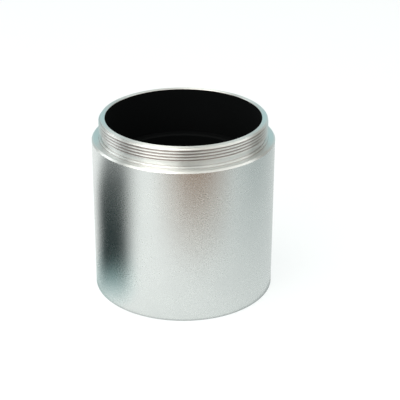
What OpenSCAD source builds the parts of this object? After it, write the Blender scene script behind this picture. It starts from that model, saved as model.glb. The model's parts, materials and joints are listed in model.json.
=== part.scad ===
// Extension tube that goes between a telescope's focuser and a camera or an eyepiece holder.
// It is turned from one piece of aluminium tube, so it is one solid of revolution about Z.
// It stands on the foot of its socket end at Z = 0, and its threaded collar points up.
// The thread is drawn by its crests alone, as the plain cylinders that another tube meets.
// All sizes are in millimetres.

/* [Thread] */
// Nominal diameter of the thread, the same on the collar and in the socket
thread_d = 42; // [25:0.5:80]
// Pitch of the thread
thread_pitch = 0.75; // [0.5:0.05:1]

/* [Body] */
// Length of the body from its foot to its shoulder, which is the spacing that the tube adds
body_len = 40; // [25:0.5:100]
// Thickness of the body outside the thread's nominal diameter, so the width of the shoulder
body_wall = 1.8; // [1.2:0.1:5]
// Bevel round the outer edge of the shoulder
shoulder_bevel = 0.4; // [0.1:0.05:0.6]
// Bevel round the outer edge of the foot
foot_bevel = 0.2; // [0.1:0.05:0.5]

/* [Collar] */
// Height of the collar above the shoulder
collar_h = 5.2; // [4.4:0.1:8]
// Length of the thread, from the lip down to the relief groove
collar_thread_len = 3.4; // [2:0.1:3.8]
// Height of the plain land at the foot of the collar
land_h = 0.5; // [0.2:0.05:0.6]
// Bevel round the upper edge of the land
land_bevel = 0.1; // [0.05:0.05:0.15]
// Depth of the relief groove below the thread's roots
relief_clearance = 0.09; // [0.03:0.01:0.2]
// Wall between the relief groove and the wide bore
collar_wall = 1; // [0.7:0.05:3]
// Lead bevel at the start of the thread
lead_bevel = 0.45; // [0.2:0.05:0.7]
// Bevel round the inner edge of the lip
mouth_bevel = 0.1; // [0.05:0.05:0.2]

/* [Bore] */
// Depth of the wide bore, from the lip down to the step
mouth_bore_depth = 12; // [6:0.5:20]
// Width of the step, from the wide bore in to the clear bore
step_w = 1.95; // [0.6:0.05:5]
// Bevel round both edges of the clear bore
clear_bore_bevel = 0.3; // [0.1:0.05:0.4]

/* [Socket] */
// Room left beyond the lip of the next tube's collar when it is screwed home
socket_end_gap = 1.3; // [0.4:0.1:5]
// Clearance round and beyond the land of the next tube's collar
land_clearance = 0.1; // [0.05:0.05:0.25]
// Bevel round the mouth of the socket
socket_bevel = 0.2; // [0.1:0.05:0.3]
// Length of the groove at the inner end of the socket, where the thread runs out
run_out_len = 1.2; // [0.8:0.1:1.8]
// Depth of that groove beyond the thread's roots
run_out_cut = 0.2; // [0.1:0.05:0.4]

/* [Hidden] */

// Number of facets that a preview draws round the tube
round_steps = 180;
// Height of the 60 degree triangle that the thread is cut from
thread_triangle = thread_pitch * sqrt(3) / 2;
// Depth of the collar's thread, from its crests to its roots
outer_thread_depth = thread_triangle * 17 / 24;
// Height of the socket's thread, from the nominal diameter in to its crests
inner_thread_depth = thread_triangle * 5 / 8;

thread_r = thread_d / 2;
body_r = thread_r + body_wall;
relief_cut = outer_thread_depth + relief_clearance;
relief_r = thread_r - relief_cut;
mouth_r = relief_r - collar_wall;
clear_r = mouth_r - step_w;

// Heights on the collar, up from the foot
lip_z = body_len + collar_h;
relief_top_z = lip_z - collar_thread_len;
land_top_z = body_len + land_h;
step_z = lip_z - mouth_bore_depth;

// The socket takes the collar of a tube of the same kind
socket_crest_r = thread_r - inner_thread_depth;
run_out_r = thread_r + run_out_cut;
land_seat_r = thread_r + land_clearance;
land_seat_z = land_h + land_clearance;
socket_z = collar_h + socket_end_gap;

// Each outline runs on from the last, counter-clockwise, as [radius, height]

// The foot, the side of the body and the shoulder
function body_outline() = [
    [body_r - foot_bevel, 0],
    [body_r, foot_bevel],
    [body_r, body_len - shoulder_bevel],
    [body_r - shoulder_bevel, body_len],
];

// The land, the relief groove, the thread's crests, its lead bevel and the lip
function collar_outline() = [
    [thread_r, body_len],
    [thread_r, land_top_z - land_bevel],
    [thread_r - land_bevel, land_top_z],
    [relief_r, land_top_z],
    [relief_r, relief_top_z],
    [thread_r, relief_top_z],
    [thread_r, lip_z - lead_bevel],
    [thread_r - lead_bevel, lip_z],
    [mouth_r + mouth_bevel, lip_z],
    [mouth_r, lip_z - mouth_bevel],
];

// The wide bore, the step and the clear bore
function bore_outline() = [
    [mouth_r, step_z],
    [clear_r + clear_bore_bevel, step_z],
    [clear_r, step_z - clear_bore_bevel],
    [clear_r, socket_z + clear_bore_bevel],
    [clear_r + clear_bore_bevel, socket_z],
];

// The stop face, the run-out groove, the thread's crests, and the seat of the next tube's land
function socket_outline() = [
    [run_out_r, socket_z],
    [run_out_r, socket_z - run_out_len],
    [socket_crest_r, socket_z - run_out_len],
    [socket_crest_r, land_seat_z + land_seat_r - socket_crest_r],
    [land_seat_r, land_seat_z],
    [land_seat_r, socket_bevel],
    [land_seat_r + socket_bevel, 0],
];

module turned_section() {
    polygon(concat(body_outline(), collar_outline(), bore_outline(), socket_outline()));
}

module extension_tube() {
    color("silver")
    rotate_extrude($fn = round_steps)
    turned_section();
}

extension_tube();
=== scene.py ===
import json
import math

import bmesh
import bpy
from mathutils import Matrix, Vector


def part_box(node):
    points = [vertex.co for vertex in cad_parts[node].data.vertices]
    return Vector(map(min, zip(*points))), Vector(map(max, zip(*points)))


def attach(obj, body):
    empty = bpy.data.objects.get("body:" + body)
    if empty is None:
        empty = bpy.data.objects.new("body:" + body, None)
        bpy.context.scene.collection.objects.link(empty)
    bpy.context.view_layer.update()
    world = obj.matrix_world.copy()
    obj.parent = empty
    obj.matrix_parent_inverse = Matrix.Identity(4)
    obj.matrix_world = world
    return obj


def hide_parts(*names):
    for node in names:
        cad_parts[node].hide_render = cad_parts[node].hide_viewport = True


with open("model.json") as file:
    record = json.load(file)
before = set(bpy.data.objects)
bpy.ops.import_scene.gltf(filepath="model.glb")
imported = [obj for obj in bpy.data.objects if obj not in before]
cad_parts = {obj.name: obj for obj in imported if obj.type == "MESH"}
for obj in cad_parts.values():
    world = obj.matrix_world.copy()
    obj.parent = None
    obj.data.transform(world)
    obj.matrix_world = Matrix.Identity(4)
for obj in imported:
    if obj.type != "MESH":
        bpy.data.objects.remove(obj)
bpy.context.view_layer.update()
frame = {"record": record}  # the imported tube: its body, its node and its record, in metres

bl_info = {
    "name": "Telescope Extension Tube",
    "version": (1, 0, 0),
    "blender": (4, 5, 0),
    "location": "3D View > Sidebar > Tube",
    "description": "Turns an extension tube with cut threads, and sets up a small studio round it",
    "category": "Add Mesh",
}

CAD_NODE = "extension_tube"
MOUNTS = {mount["name"]: mount for mount in frame["record"]["mounts"]}
MM = 0.001

# The standard 60 degree thread, as shares of its pitch and of its triangle's height
FLANK_ANGLE = math.radians(30)
TRIANGLE_HEIGHT = math.sqrt(3) / 2
COLLAR_THREAD_DEPTH = 17 / 24
COLLAR_CREST_FLAT = 1 / 8
SOCKET_CREST_FLAT = 1 / 4

# How near points are to count as one point or one level, in metres
CUT_SNAP = 1e-9
SAME_LEVEL = 0.001 * MM
TURNS_WELD = 0.002 * MM
PARTS_WELD = 0.0001 * MM

# Edges that turn by more than this stay crisp
CRISP_ANGLE = math.radians(35)

# Share of a full turn that sets the long blur of the turned metal across its marks
QUARTER_TURN = 0.25

# Where the values of a noise texture mostly lie, and their middle
NOISE_LOW, NOISE_MIDDLE, NOISE_HIGH = 0.3, 0.5, 0.7

# The point that lamps and cards face, half way up the body
FACED_POINT = Vector((0, 0, 20 * MM))


def mount_radius(name):
    """Radius of one of the frame's round mounts, in metres."""
    return MOUNTS[name]["dims"]["r_mm"] * MM


def length(name, description, default):
    """A property that holds a length in metres."""
    return bpy.props.FloatProperty(
        name=name, description=description, default=default, min=0, unit="LENGTH", precision=5
    )


def share(name, description, default):
    """A property that holds a number from nothing to one."""
    return bpy.props.FloatProperty(name=name, description=description, default=default, min=0, max=1)


def angle(name, description, degrees):
    """A property that holds an angle."""
    return bpy.props.FloatProperty(
        name=name, description=description, default=math.radians(degrees), subtype="ANGLE"
    )


def number(name, description, default, unit="NONE"):
    """A property that holds a number above nothing."""
    return bpy.props.FloatProperty(name=name, description=description, default=default, min=0, unit=unit)


def colour(name, description, default):
    """A property that holds a colour."""
    return bpy.props.FloatVectorProperty(
        name=name, description=description, default=default, min=0, max=1, size=3, subtype="COLOR"
    )


class TubeSizes(bpy.types.PropertyGroup):
    """Sizes of the turned tube. What the frame knows comes from the frame."""

    body_r: length("Body radius", "Radius of the plain body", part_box(CAD_NODE)[1].x)
    body_len: length("Body length", "Height of the shoulder above the foot", MOUNTS["shoulder"]["pos_m"][2])
    lip_z: length("Lip height", "Height of the collar's lip above the foot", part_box(CAD_NODE)[1].z)
    thread_r: length("Thread radius", "Crests of the collar's thread", mount_radius("collar_thread"))
    socket_crest_r: length("Socket radius", "Crests of the socket's thread", mount_radius("socket_thread"))
    mouth_r: length("Mouth radius", "Radius of the wide bore", mount_radius("mouth_bore"))
    clear_r: length("Clear radius", "Radius of the clear bore", mount_radius("clear_bore"))
    pitch: length("Pitch", "Rise of the thread in one turn", 0.75 * MM)
    thread_phase: share("Thread phase", "Part of a turn that both threads are shifted by", 0.84)
    collar_thread_len: length("Thread length", "Thread on the collar, from the lip down", 3.4 * MM)
    relief_cut: length("Relief cut", "Depth of the relief groove below the crests", 0.55 * MM)
    land_h: length("Land height", "Plain land at the foot of the collar", 0.5 * MM)
    land_bevel: length("Land bevel", "Bevel round the upper edge of the land", 0.1 * MM)
    lead_bevel: length("Lead bevel", "Bevel at the start of the collar's thread", 0.45 * MM)
    shoulder_bevel: length("Shoulder bevel", "Bevel round the shoulder", 0.4 * MM)
    foot_bevel: length("Foot bevel", "Bevel round the foot", 0.2 * MM)
    mouth_bevel: length("Mouth bevel", "Bevel round the inner edge of the lip", 0.1 * MM)
    mouth_depth: length("Mouth depth", "Depth of the wide bore below the lip", 12 * MM)
    bore_bevel: length("Bore bevel", "Bevel round both edges of the clear bore", 0.3 * MM)
    socket_depth: length("Socket depth", "Depth of the socket, from the foot up", 6.5 * MM)
    run_out_len: length("Run-out length", "Groove at the inner end of the socket's thread", 1.2 * MM)
    run_out_cut: length("Run-out cut", "Depth of that groove beyond the roots", 0.2 * MM)
    land_clearance: length("Land clearance", "Room round the next tube's land", 0.1 * MM)
    socket_bevel: length("Socket bevel", "Bevel round the mouth of the socket", 0.2 * MM)
    edge_round: length("Edge rounding", "Radius that finishing leaves on each turned edge", 0.03 * MM)
    steps: bpy.props.IntProperty(name="Steps", description="Facets round the tube", default=192, min=24)


class TubeFinish(bpy.types.PropertyGroup):
    """Colours and surface of the tube."""

    silver: colour("Silver", "Clear anodised aluminium", (0.74, 0.765, 0.75))
    silver_shade: colour("Silver shade", "Slightly duller patches of the metal", (0.72, 0.745, 0.732))
    # Painted shade: a dull brown laid into the thread's roots and the collar's inner corners, where shade
    # falls
    painted_root_shade: colour("Root shade", "The metal down in the thread's roots", (0.36, 0.29, 0.28))
    black: colour("Black", "Matt black coating of the bores", (0.0024, 0.0030, 0.0032))
    body_roughness: share("Body roughness", "Roughness of the blasted body", 0.27)
    turned_roughness: share("Turned roughness", "Roughness of the collar and the flat faces", 0.37)
    turned_grain: share("Turned grain", "How much more the turning marks blur across than along", 1.0)
    black_roughness: share("Black roughness", "Roughness of the black coating", 0.7)
    black_shine: share("Black shine", "Specular level of the black coating", 0.06)
    grain: length("Grain", "Size of the dimples that blasting leaves", 0.3 * MM)
    grain_depth: length("Grain depth", "Depth of those dimples", 0.008 * MM)
    coat_depth: length("Coat depth", "Depth of the same dimples in the black coating", 0.01 * MM)
    body_patch: length("Body patch", "Size of the duller patches on the body", 8 * MM)
    turned_patch: length("Turned patch", "Size of the duller patches on the turned faces", 5 * MM)
    tool_mark: length("Tool mark", "Spacing of the fine turning marks", 0.06 * MM)
    tool_mark_depth: length("Tool mark depth", "Depth of those marks", 0.0015 * MM)
    grain_swing: share("Grain swing", "How much the body's roughness varies with its dimples", 0.04)
    patch_swing: share("Patch swing", "How much the body's roughness varies with its patches", 0.03)
    mark_swing: share("Mark swing", "How much the turned roughness varies from mark to mark", 0.1)
    coat_swing: share("Coat swing", "How much the black coating's roughness varies", 0.1)
    # Where and how strongly the painted root shade darkens the thread's roots and the collar's inner
    # corners
    root_start: length("Root start", "Depth below the crests where the root shade starts", 0.12 * MM)
    corner_reach: length("Corner reach", "How far the root shade reaches out of an inner corner", 0.16 * MM)
    corner_share: share("Corner share", "Strength of the root shade in the collar's corners", 0.6)


class StudioSettings(bpy.types.PropertyGroup):
    """Camera, lamps and room."""

    camera_back: length("Camera back", "How far the camera stands in front of the tube's axis", 0.28146)
    camera_height: length("Camera height", "Height of the camera above the table", 0.15452)
    camera_tilt: angle("Camera tilt", "How far the camera looks down", 25.175)
    camera_turn: angle("Camera turn", "How far the camera turns to the right", 0.851)
    camera_roll: angle("Camera roll", "How far the camera rolls to the left", 0.255)
    camera_lens: number("Camera lens", "Focal length of the camera", 109.71, unit="CAMERA")
    room_strength: share("Room strength", "Strength of the room's own soft light", 0.45)
    room_in_metal: share("Room in metal", "Strength of the room as the metal sees it", 0.75)
    room_tint: colour("Room tint", "Colour of the room as the metal sees it", (0.97, 0.99, 0.96))
    lamp_radiance: number("Lamp radiance", "Brightness that all soft lamps are a share of", 1.4)
    lamp_tint: colour("Lamp tint", "Colour of the warm lamps", (1, 0.955, 0.9))
    table_radius: length("Table radius", "Radius of the round table", 3)
    table_colour: share("Table colour", "How pale the table is by its own colour", 0.27)
    table_white: share("Table white", "What the camera sees of the table beyond its own light", 0.75)
    table_glow: share("Table glow", "What the metal sees of the table beyond its own light", 0.71)
    table_tint: colour("Table tint", "Colour of the white that is added to the table", (0.955, 1, 1))


# Section of the tube


def rounded(corners, radius, guard):
    """An open outline of (radius, height) corners with each inner corner rounded.
    A guard point on either side of it keeps the smooth shading of the long faces true."""
    points = [Vector(corners[0])]
    for before, corner, after in zip(corners, corners[1:], corners[2:]):
        corner = Vector(corner)
        inward = (corner - Vector(before)).normalized()
        outward = (Vector(after) - corner).normalized()
        turn = inward.angle(outward)
        reach = radius * math.tan(turn / 2)
        start, end = corner - inward * reach, corner + outward * reach
        middle = corner + ((start + end) / 2 - corner).normalized() * (radius / math.cos(turn / 2) - radius)
        points += [start - inward * guard, start, middle, end, end + outward * guard]
    return points + [Vector(corners[-1])]


def outer_corners(s):
    """Down the outside from the relief groove, round the foot and up to the socket's thread."""
    relief_r = s.thread_r - s.relief_cut
    land_top = s.body_len + s.land_h
    seat_r, seat_z = s.thread_r + s.land_clearance, s.land_h + s.land_clearance
    return [
        (relief_r, s.lip_z - s.collar_thread_len),
        (relief_r, land_top),
        (s.thread_r - s.land_bevel, land_top),
        (s.thread_r, land_top - s.land_bevel),
        (s.thread_r, s.body_len),
        (s.body_r - s.shoulder_bevel, s.body_len),
        (s.body_r, s.body_len - s.shoulder_bevel),
        (s.body_r, s.foot_bevel),
        (s.body_r - s.foot_bevel, 0),
        (seat_r + s.socket_bevel, 0),
        (seat_r, s.socket_bevel),
        (seat_r, seat_z),
    ]


def inner_corners(s):
    """From the lip down through both bores to the groove where the socket's thread runs out."""
    step_z = s.lip_z - s.mouth_depth
    run_out_r = s.thread_r + s.run_out_cut
    return [
        (s.thread_r - s.relief_cut, s.lip_z),
        (s.mouth_r + s.mouth_bevel, s.lip_z),
        (s.mouth_r, s.lip_z - s.mouth_bevel),
        (s.mouth_r, step_z),
        (s.clear_r + s.bore_bevel, step_z),
        (s.clear_r, step_z - s.bore_bevel),
        (s.clear_r, s.socket_depth + s.bore_bevel),
        (s.clear_r + s.bore_bevel, s.socket_depth),
        (run_out_r, s.socket_depth),
        (run_out_r, s.socket_depth - s.run_out_len),
    ]


def turn_skin(bm, corners, s):
    """Spins an outline right round the axis."""
    points = rounded(corners, s.edge_round, s.edge_round)
    verts = [bm.verts.new((r, 0, z)) for r, z in points]
    edges = [bm.edges.new(pair) for pair in zip(verts, verts[1:])]
    bmesh.ops.spin(
        bm, geom=verts + edges, cent=(0, 0, 0), axis=(0, 0, 1), dvec=(0, 0, 0),
        angle=2 * math.pi, steps=s.steps, use_merge=True,
    )


# Threads


def thread_profile(crest_r, root_r, crest_flat, s):
    """One pitch of a 60 degree thread, from the middle of one crest to the middle of the next."""
    flank = abs(crest_r - root_r) * math.tan(FLANK_ANGLE)
    half = crest_flat / 2
    corners = [
        (crest_r, 0),
        (crest_r, half),
        (root_r, half + flank),
        (root_r, s.pitch - half - flank),
        (crest_r, s.pitch - half),
        (crest_r, s.pitch),
    ]
    return rounded(corners, s.edge_round, s.edge_round / 3)


def cut_flat(bm, height, keep):
    """Cuts the mesh along a level plane, and keeps what lies above or below it, or both."""
    bmesh.ops.bisect_plane(
        bm, geom=bm.verts[:] + bm.edges[:] + bm.faces[:], dist=CUT_SNAP,
        plane_co=(0, 0, height), plane_no=(0, 0, 1),
        clear_outer=keep == "below", clear_inner=keep == "above",
    )


def wound_thread(profile, low_z, high_z, s):
    """A helical sheet of thread between two level planes, as a bmesh of its own."""
    bm = bmesh.new()
    first_z = low_z - s.pitch * (1 + s.thread_phase)
    verts = [bm.verts.new((r, 0, first_z + z)) for r, z in profile]
    edges = [bm.edges.new(pair) for pair in zip(verts, verts[1:])]
    bmesh.ops.spin(
        bm, geom=verts + edges, cent=(0, 0, 0), axis=(0, 0, 1), dvec=(0, 0, s.pitch / s.steps),
        angle=2 * math.pi, steps=s.steps, use_merge=False,
    )
    first_turn = bm.verts[:] + bm.edges[:] + bm.faces[:]
    for turn in range(1, math.ceil((high_z - first_z) / s.pitch)):
        copied = bmesh.ops.duplicate(bm, geom=first_turn)["geom"]
        copied = [item for item in copied if isinstance(item, bmesh.types.BMVert)]
        bmesh.ops.translate(bm, vec=(0, 0, turn * s.pitch), verts=copied)
    bmesh.ops.remove_doubles(bm, verts=bm.verts[:], dist=TURNS_WELD)
    cut_flat(bm, low_z, "above")
    cut_flat(bm, high_z, "below")
    return bm


def limit_radius(bm, limit):
    """Brings each vertex to the radius that limit gives for its own radius and height."""
    for vert in bm.verts:
        r = math.hypot(vert.co.x, vert.co.y)
        new = limit(r, vert.co.z)
        vert.co.x *= new / r
        vert.co.y *= new / r


def collar_thread(s):
    """The collar's thread, with its lead bevel."""
    bevel_z = s.lip_z - s.lead_bevel
    root_r = s.thread_r - s.pitch * TRIANGLE_HEIGHT * COLLAR_THREAD_DEPTH
    profile = thread_profile(s.thread_r, root_r, s.pitch * COLLAR_CREST_FLAT, s)
    bm = wound_thread(profile, s.lip_z - s.collar_thread_len, s.lip_z, s)
    cut_flat(bm, bevel_z, "both")
    limit_radius(bm, lambda r, z: min(r, s.thread_r - max(z - bevel_z, 0)))
    return bm


def socket_thread(s):
    """The socket's thread, with the cone that leads into it."""
    seat_z = s.land_h + s.land_clearance
    seat_r = s.thread_r + s.land_clearance - s.edge_round
    profile = thread_profile(s.socket_crest_r, s.thread_r, s.pitch * SOCKET_CREST_FLAT, s)
    bm = wound_thread(profile, seat_z, s.socket_depth - s.run_out_len, s)
    cut_flat(bm, seat_z + seat_r - s.socket_crest_r, "both")
    limit_radius(bm, lambda r, z: max(r, seat_r - (z - seat_z)))
    return bm


def fill_ring(bm, height, facing):
    """Fills the flat ring between the two open rims that lie at one height."""
    rims = [
        edge for edge in bm.edges
        if edge.is_boundary and all(abs(vert.co.z - height) < SAME_LEVEL for vert in edge.verts)
    ]
    bmesh.ops.triangle_fill(bm, use_beauty=True, edges=rims, normal=(0, 0, facing))


def join_into(bm, part):
    """Adds a bmesh to another and frees it."""
    mesh = bpy.data.meshes.new("part")
    part.to_mesh(mesh)
    part.free()
    bm.from_mesh(mesh)
    bpy.data.meshes.remove(mesh)


BLASTED, TURNED, BLACK = range(3)


def paint(bm, s):
    """Gives each face its finish: black in the bores, blasted on the body's side, turned elsewhere.
    The face that the next tube's collar stops at, at the end of the socket, is black too."""
    bores_foot, bores_top = s.socket_depth - s.edge_round, s.lip_z - s.mouth_bevel
    side_foot, side_top = s.foot_bevel, s.body_len - s.shoulder_bevel
    for face in bm.faces:
        centre = face.calc_center_median()
        r, z = math.hypot(centre.x, centre.y), centre.z
        in_bores = r < s.mouth_r + s.edge_round and bores_foot < z < bores_top
        on_stop_face = r < s.thread_r and abs(z - s.socket_depth) < s.edge_round
        if in_bores or on_stop_face:
            face.material_index = BLACK
        elif r > s.body_r - s.edge_round and side_foot < z < side_top:
            face.material_index = BLASTED
        else:
            face.material_index = TURNED


# Shaders


class Value:
    """A node's output. Sums written with it add Math nodes to its tree."""

    def __init__(self, tree, socket):
        self.tree, self.socket = tree, socket

    def maths(self, operation, first, second):
        """Adds a Math node."""
        return self.tree.add("ShaderNodeMath", {"operation": operation}, {0: first, 1: second})

    def __add__(self, other):
        return self.maths("ADD", self, other)

    def __sub__(self, other):
        return self.maths("SUBTRACT", self, other)

    def __rsub__(self, other):
        return self.maths("SUBTRACT", other, self)

    def __mul__(self, other):
        return self.maths("MULTIPLY", self, other)

    __radd__, __rmul__ = __add__, __mul__


class Tree:
    """The nodes of one material or of the world."""

    def __init__(self, owner, output):
        owner.use_nodes = True
        self.owner, self.tree = owner, owner.node_tree
        self.tree.nodes.clear()
        self.output = self.tree.nodes.new(output)

    def add(self, kind, settings=None, inputs=None, output=0):
        """Adds a node, sets it, fills or links its inputs, and returns one of its outputs."""
        node = self.tree.nodes.new(kind)
        for name, value in (settings or {}).items():
            setattr(node, name, value)
        for name, value in (inputs or {}).items():
            self.feed(node.inputs[name], value)
        return Value(self, node.outputs[output])

    def feed(self, socket, value):
        """Links a socket to a value, or sets it to a number or a colour."""
        if isinstance(value, Value):
            self.tree.links.new(value.socket, socket)
        elif socket.type == "RGBA":
            socket.default_value = (*value, 1)
        else:
            socket.default_value = value

    def surface(self, shader):
        """Ends the tree with a shader."""
        self.tree.links.new(shader.socket, self.output.inputs["Surface"])

    def place(self):
        """The point on the object, in metres."""
        return self.add("ShaderNodeTexCoord", output="Object")

    def vector_length(self, vector):
        """Length of a vector."""
        return self.add("ShaderNodeVectorMath", {"operation": "LENGTH"}, {0: vector}, output="Value")

    def noise(self, place, size, detail=2.0):
        """Soft noise whose lumps are about size metres across."""
        return self.add("ShaderNodeTexNoise", None, {"Vector": place, "Scale": 1 / size, "Detail": detail})

    def ramp(self, value, low, high):
        """Rises smoothly from 0 to 1 as value goes from low to high."""
        return self.add(
            "ShaderNodeMapRange", {"interpolation_type": "SMOOTHSTEP"},
            {"Value": value, "From Min": low, "From Max": high},
        )

    def blend(self, mask, first, second):
        """A colour between two others."""
        return self.add(
            "ShaderNodeMix", {"data_type": "RGBA"}, {0: mask, 6: first, 7: second}, output=2
        )

    def bump(self, height, distance):
        """A normal that follows a height."""
        return self.add("ShaderNodeBump", None, {"Height": height, "Distance": distance, "Strength": 1.0})


def new_material(name):
    """A material with an empty tree."""
    return Tree(bpy.data.materials.new(name), "ShaderNodeOutputMaterial")


def radius_and_height(tree, place):
    """Distance of a point on the tube from its axis, and its height above the foot, in metres."""
    level = tree.add("ShaderNodeVectorMath", {"operation": "MULTIPLY"}, {0: place, 1: (1, 1, 0)})
    height = tree.add("ShaderNodeSeparateXYZ", None, {"Vector": place}, output="Z")
    return tree.vector_length(level), height


def blasted_metal(finish):
    """Satin silver of the body: blasted with fine beads, then clear anodised."""
    tree = new_material("blasted_silver")
    place = tree.place()
    grain = tree.noise(place, finish.grain, detail=5.0)
    patches = tree.noise(place, finish.body_patch)
    dulled = (grain - NOISE_MIDDLE) * finish.grain_swing + (patches - NOISE_MIDDLE) * finish.patch_swing
    clear = tree.ramp(patches, NOISE_LOW, NOISE_HIGH)
    shader = tree.add("ShaderNodeBsdfPrincipled", None, {
        "Base Color": tree.blend(clear, finish.silver_shade, finish.silver),
        "Metallic": 1.0,
        "Roughness": finish.body_roughness + dulled,
        "Normal": tree.bump(grain, finish.grain_depth),
    })
    tree.surface(shader)
    return tree.owner


def painted_shade_in_corner(tree, radius, height, corner, reach):
    """Mask of the painted shade in a corner between two turned faces: one in the corner, and zero beyond
    its reach.
    """
    gap = tree.add("ShaderNodeCombineXYZ", None, {"X": radius - corner[0], "Y": height - corner[1]})
    return 1 - tree.ramp(tree.vector_length(gap), 0, reach)


def painted_shade_in_roots(tree, radius, height, finish, s):
    """Mask of the painted shade: one in the roots of the collar's thread, and zero on its crests, its lead
    bevel and the lip.
    """
    thread_foot = s.lip_z - s.collar_thread_len
    above_bevel = height - (s.lip_z - s.lead_bevel)
    above_bevel = tree.add("ShaderNodeMath", {"operation": "MAXIMUM"}, {0: above_bevel, 1: 0})
    fade = 0.1 * MM
    deep = tree.ramp(s.thread_r - radius - above_bevel, finish.root_start, s.relief_cut)
    on_thread = tree.ramp(height, thread_foot, thread_foot + fade)
    below_lip = 1 - tree.ramp(height, s.lip_z - fade, s.lip_z - fade / 2)
    return deep * on_thread * below_lip


def turned_metal(finish, s):
    """Silver of the collar, the shoulder, the foot and the socket, with fine turning marks, and with shade
    painted into the thread's roots and the collar's two inner corners.
    """
    tree = new_material("turned_silver")
    place = tree.place()
    radius, height = radius_and_height(tree, place)
    marks = tree.add("ShaderNodeTexNoise", {"noise_dimensions": "1D"}, {
        "W": (radius + height) * (1 / finish.tool_mark),
        "Scale": 1.0,
        "Detail": 2.0,
    })
    silver = tree.blend(tree.noise(place, finish.turned_patch), finish.silver_shade, finish.silver)
    # Painted shade: the base colour darkens in the thread's roots and in the collar's two inner corners,
    # where shade falls
    roots = painted_shade_in_roots(tree, radius, height, finish, s)
    land_foot_painted_shade, groove_foot_painted_shade = (
        painted_shade_in_corner(tree, radius, height, corner, finish.corner_reach)
        for corner in ((s.thread_r, s.body_len), (s.thread_r - s.relief_cut, s.body_len + s.land_h))
    )
    painted_shade_mask = roots + (land_foot_painted_shade + groove_foot_painted_shade) * finish.corner_share
    shader = tree.add("ShaderNodeBsdfPrincipled", None, {
        "Base Color": tree.blend(painted_shade_mask, silver, finish.painted_root_shade),
        "Metallic": 1.0,
        "Roughness": finish.turned_roughness + (marks - NOISE_MIDDLE) * finish.mark_swing,
        "Anisotropic": finish.turned_grain,
        "Anisotropic Rotation": QUARTER_TURN,
        "Normal": tree.bump(marks, finish.tool_mark_depth),
    })
    tree.surface(shader)
    return tree.owner


def black_coat(finish):
    """Matt black of the bores."""
    tree = new_material("matt_black")
    grain = tree.noise(tree.place(), finish.grain, detail=3.0)
    shader = tree.add("ShaderNodeBsdfPrincipled", None, {
        "Base Color": finish.black,
        "Roughness": finish.black_roughness + (grain - NOISE_MIDDLE) * finish.coat_swing,
        "Specular IOR Level": finish.black_shine,
        "Normal": tree.bump(grain, finish.coat_depth),
    })
    tree.surface(shader)
    return tree.owner


class MESH_OT_extension_tube(bpy.types.Operator):
    """Turn the tube, cut its two threads and give it its finishes"""

    bl_idname = "mesh.extension_tube"
    bl_label = "Add Extension Tube"
    bl_options = {"REGISTER", "UNDO"}

    def execute(self, context):
        s, finish = context.scene.tube_sizes, context.scene.tube_finish
        bm = bmesh.new()
        turn_skin(bm, outer_corners(s), s)
        turn_skin(bm, inner_corners(s), s)
        join_into(bm, collar_thread(s))
        join_into(bm, socket_thread(s))
        fill_ring(bm, s.lip_z, 1)
        fill_ring(bm, s.lip_z - s.collar_thread_len, -1)
        fill_ring(bm, s.land_h + s.land_clearance, -1)
        fill_ring(bm, s.socket_depth - s.run_out_len, 1)
        bmesh.ops.remove_doubles(bm, verts=bm.verts[:], dist=PARTS_WELD)
        open_edges = [edge for edge in bm.edges if not edge.is_manifold]
        if open_edges:
            raise RuntimeError(f"the tube has {len(open_edges)} open edges")
        bmesh.ops.recalc_face_normals(bm, faces=bm.faces[:])
        paint(bm, s)
        mesh = bpy.data.meshes.new("tube")
        bm.to_mesh(mesh)
        bm.free()
        mesh.shade_smooth()
        mesh.set_sharp_from_angle(angle=CRISP_ANGLE)
        for material in (blasted_metal(finish), turned_metal(finish, s), black_coat(finish)):
            mesh.materials.append(material)
        tube = bpy.data.objects.new("tube", mesh)
        context.scene.collection.objects.link(tube)
        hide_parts(CAD_NODE)
        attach(tube, "root")
        return {"FINISHED"}


# Studio


def table_material(studio):
    """White table. The camera and the metal see it white, and it still takes the tube's shadow."""
    tree = new_material("white_table")
    path = tree.add("ShaderNodeLightPath").socket.node
    in_view, in_metal, in_glass = (
        Value(tree, path.outputs[f"Is {kind} Ray"]) for kind in ("Camera", "Glossy", "Transmission")
    )
    plain = tree.add("ShaderNodeBsdfDiffuse", None, {"Color": (studio.table_colour,) * 3})
    glow = in_view * studio.table_white + (in_metal + in_glass) * studio.table_glow
    lit = tree.add("ShaderNodeEmission", None, {"Color": studio.table_tint, "Strength": glow})
    tree.surface(tree.add("ShaderNodeAddShader", None, {0: plain, 1: lit}))
    return tree.owner


def faded_glow(tree, tint, there):
    """Ends a card's tree: one colour's glow where the mask is one, and nothing where it is zero."""
    tree.surface(tree.add("ShaderNodeMixShader", None, {
        0: there,
        1: tree.add("ShaderNodeBsdfTransparent"),
        2: tree.add("ShaderNodeEmission", None, {"Color": tint, "Strength": 1.0}),
    }))
    return tree.owner


def oval_card_material(name, tint, softness):
    """Glows with one colour, and fades out towards the rim."""
    tree = new_material(name)
    out = tree.vector_length(tree.place())
    there = tree.add("ShaderNodeMapRange", None, {
        "Value": out,
        "From Min": 1.0,
        "From Max": 1.0 - softness,
    })
    return faded_glow(tree, tint, there)


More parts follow.
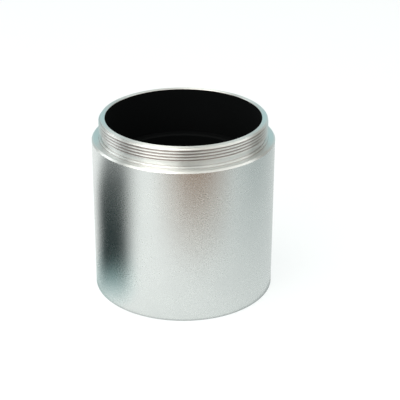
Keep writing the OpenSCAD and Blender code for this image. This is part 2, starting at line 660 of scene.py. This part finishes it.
def wedge_card_material(name, tint, middle, side, near, far, slant):
    """Glows with one colour in a wedge that opens away from its tip, and fades out on all sides.
    Middle is the way that it opens, in degrees from the camera's side to the left, and side is where it
    fades on either side of that. Near and far are where it fades along its length, in millimetres.
    Slant brings the far end nearer on the side away from the camera, by this share for each radian."""
    tree = new_material(name)
    place = tree.place()
    out = tree.vector_length(place)
    x, y = (tree.add("ShaderNodeSeparateXYZ", None, {"Vector": place}, output=axis) for axis in "XY")
    sine, cosine = math.sin(math.radians(middle)), math.cos(math.radians(middle))
    along = x * -sine - y * cosine
    across = x * -cosine + y * sine
    bearing = tree.add("ShaderNodeMath", {"operation": "ARCTAN2"}, {0: across, 1: along})
    off_middle = tree.add("ShaderNodeMath", {"operation": "ABSOLUTE"}, {0: bearing})
    sides = 1 - tree.ramp(off_middle, math.radians(side[0]), math.radians(side[1]))
    behind = tree.add("ShaderNodeMath", {"operation": "MAXIMUM"}, {0: bearing, 1: 0})
    near_end = tree.ramp(out, near[0] * MM, near[1] * MM)
    far_end = 1 - tree.ramp(out * (1 + behind * slant), far[0] * MM, far[1] * MM)
    return faded_glow(tree, tint, sides * near_end * far_end)


def face_tube(made, place):
    """Puts a lamp or a card at a place, in metres, and turns it to face the tube."""
    made.location = place
    made.rotation_euler = (FACED_POINT - Vector(place)).to_track_quat("-Z", "Y").to_euler()


def disc(name, radius, material, steps=64):
    """A flat disc for the stage, in metres."""
    bm = bmesh.new()
    bmesh.ops.create_circle(bm, cap_ends=True, segments=steps, radius=radius)
    mesh = bpy.data.meshes.new(name)
    bm.to_mesh(mesh)
    bm.free()
    mesh.materials.append(material)
    made = bpy.data.objects.new(name, mesh)
    bpy.context.scene.collection.objects.link(made)
    return made


def only_in_metal(made):
    """Hides a card from the camera and from all light but mirrored light."""
    for kind in ("camera", "diffuse", "shadow", "transmission"):
        setattr(made, f"visible_{kind}", False)


def card(name, place, size, turn, tint, softness):
    """An oval card that shows only in the metal. Its place, width and length are in millimetres.
    Turn is in degrees from the camera's side to the left, and with None the card faces the tube."""
    made = disc(name, 1, oval_card_material(name, tint, softness))
    if turn is None:
        face_tube(made, Vector(place) * MM)
    else:
        made.location = Vector(place) * MM
        made.rotation_euler.z = math.radians(180 - turn)
    made.scale = (size[0] / 2 * MM, size[1] / 2 * MM, 1)
    only_in_metal(made)


def cards():
    """The things round the tube that the satin metal mirrors as soft shades, and a painted contact shadow
    under its foot.
    """
    dark = wedge_card_material(
        "dark_card", tint=(0.003, 0.016, 0.017),
        middle=102, side=(16, 52), near=(1.5, 33), far=(91, 138), slant=0.6,
    )
    dark_card = disc("dark_card", 150 * MM, dark)
    dark_card.location = Vector((-11.7, -15.7, 0.6)) * MM
    only_in_metal(dark_card)
    # Painted contact shadow: a grey disc under the foot that only the metal sees, since the table's glow
    # takes no shadow
    card(
        "contact_card", place=(0.1, 0.15, 0.05), size=(47.65, 47.65), turn=0,
        tint=(0.33, 0.35, 0.35), softness=0.04,
    )
    card(
        "left_card", place=(-36, -10, 0.3), size=(44, 44), turn=0,
        tint=(0.60, 0.90, 0.90), softness=0.9,
    )
    card(
        "warm_card", place=(34, -156, 0.4), size=(260, 225), turn=-12,
        tint=(0.22, 0.08, 0.0), softness=0.7,
    )
    card(
        "cool_card", place=(160, 10, 0.2), size=(380, 380), turn=0,
        tint=(0.36, 0.42, 0.42), softness=0.95,
    )
    card(
        "backdrop_card", place=(0, 900, 260), size=(1700, 620), turn=None,
        tint=(0.56, 0.80, 0.82), softness=0.6,
    )
    card(
        "ceiling_card", place=(0, 0, 800), size=(1300, 1300), turn=0,
        tint=(0.64, 0.60, 0.53), softness=0.5,
    )
    card(
        "side_card", place=(400, 180, 190), size=(560, 340), turn=None,
        tint=(0.30, 0.27, 0.22), softness=0.7,
    )


def soft_lamp(name, place, size, radiance, tint=(1, 1, 1)):
    """A soft lamp that points at the tube. Its place, width and length are in metres."""
    data = bpy.data.lights.new(name, "AREA")
    data.shape = "RECTANGLE"
    data.size, data.size_y = size
    data.energy = radiance * math.pi * data.size * data.size_y
    data.color = tint
    made = bpy.data.objects.new(name, data)
    face_tube(made, place)
    bpy.context.scene.collection.objects.link(made)
    made.visible_camera = False


def lamps(studio):
    """Three warm lamps, overhead, in front and at the right, and two white ones further back."""
    bright, warm = studio.lamp_radiance, studio.lamp_tint
    soft_lamp("overhead_lamp", (-0.185, -0.12, 0.5), (0.46, 0.64), radiance=1.42 * bright, tint=warm)
    soft_lamp("front_lamp", (-0.28, -0.45, 0.3), (0.5, 0.3), radiance=1.65 * bright, tint=warm)
    soft_lamp("window_lamp", (-0.5, 0.2, 0.3), (0.3, 0.25), radiance=1.35 * bright)
    soft_lamp("fill_lamp", (0.40, -0.17, 0.42), (0.8, 0.25), radiance=1.2 * bright, tint=warm)
    soft_lamp("back_lamp", (0.5, 0.13, 0.29), (0.3, 0.25), radiance=0.45 * bright)


def room(studio):
    """The room: white to the camera, a little dimmer in the metal, and a weak even light otherwise."""
    world = bpy.data.worlds.new("room")
    bpy.context.scene.world = world
    tree = Tree(world, "ShaderNodeOutputWorld")
    path = tree.add("ShaderNodeLightPath").socket.node
    in_view, in_metal = (Value(tree, path.outputs[f"Is {kind} Ray"]) for kind in ("Camera", "Glossy"))
    even = studio.room_strength
    shader = tree.add("ShaderNodeBackground", None, {
        "Color": tree.blend(in_metal, (1, 1, 1), studio.room_tint),
        "Strength": even + in_view * (1 - even) + in_metal * (studio.room_in_metal - even),
    })
    tree.surface(shader)


def camera(studio):
    """The camera, at the height and angle that the tube is seen from."""
    turn, tilt = studio.camera_turn, studio.camera_tilt
    ahead = Vector((math.sin(turn) * math.cos(tilt), math.cos(turn) * math.cos(tilt), -math.sin(tilt)))
    facing = ahead.to_track_quat("-Z", "Y").to_matrix() @ Matrix.Rotation(studio.camera_roll, 3, "Z")
    data = bpy.data.cameras.new("camera")
    data.lens = studio.camera_lens
    made = bpy.data.objects.new("camera", data)
    made.matrix_world = Matrix.Translation((0, -studio.camera_back, studio.camera_height)) @ facing.to_4x4()
    bpy.context.scene.collection.objects.link(made)
    bpy.context.scene.camera = made


class SCENE_OT_tube_studio(bpy.types.Operator):
    """Set up the white table, the cards that the metal mirrors, the soft lamps, the room and the camera"""

    bl_idname = "scene.tube_studio"
    bl_label = "Set Up Studio"
    bl_options = {"REGISTER", "UNDO"}

    def execute(self, context):
        studio = context.scene.tube_studio
        context.scene.view_settings.view_transform = "Standard"
        disc("table", studio.table_radius, table_material(studio))
        cards()
        lamps(studio)
        room(studio)
        camera(studio)
        return {"FINISHED"}


class VIEW3D_PT_extension_tube(bpy.types.Panel):
    """Sizes, finishes and studio of the extension tube"""

    bl_idname = "VIEW3D_PT_extension_tube"
    bl_label = "Extension Tube"
    bl_space_type = "VIEW_3D"
    bl_region_type = "UI"
    bl_category = "Tube"

    def draw(self, context):
        scene = context.scene
        for operator, groups in (
            ("mesh.extension_tube", (scene.tube_sizes, scene.tube_finish)),
            ("scene.tube_studio", (scene.tube_studio,)),
        ):
            box = self.layout.box()
            for group in groups:
                for name in group.__annotations__:
                    box.prop(group, name)
            box.operator(operator)


CLASSES = (
    TubeSizes, TubeFinish, StudioSettings,
    MESH_OT_extension_tube, SCENE_OT_tube_studio, VIEW3D_PT_extension_tube,
)


def register():
    for made in CLASSES:
        bpy.utils.register_class(made)
    bpy.types.Scene.tube_sizes = bpy.props.PointerProperty(type=TubeSizes)
    bpy.types.Scene.tube_finish = bpy.props.PointerProperty(type=TubeFinish)
    bpy.types.Scene.tube_studio = bpy.props.PointerProperty(type=StudioSettings)


def unregister():
    del bpy.types.Scene.tube_studio, bpy.types.Scene.tube_finish, bpy.types.Scene.tube_sizes
    for made in reversed(CLASSES):
        bpy.utils.unregister_class(made)


def main():
    register()
    bpy.ops.scene.tube_studio()
    bpy.ops.mesh.extension_tube()


if __name__ == "__main__":
    main()
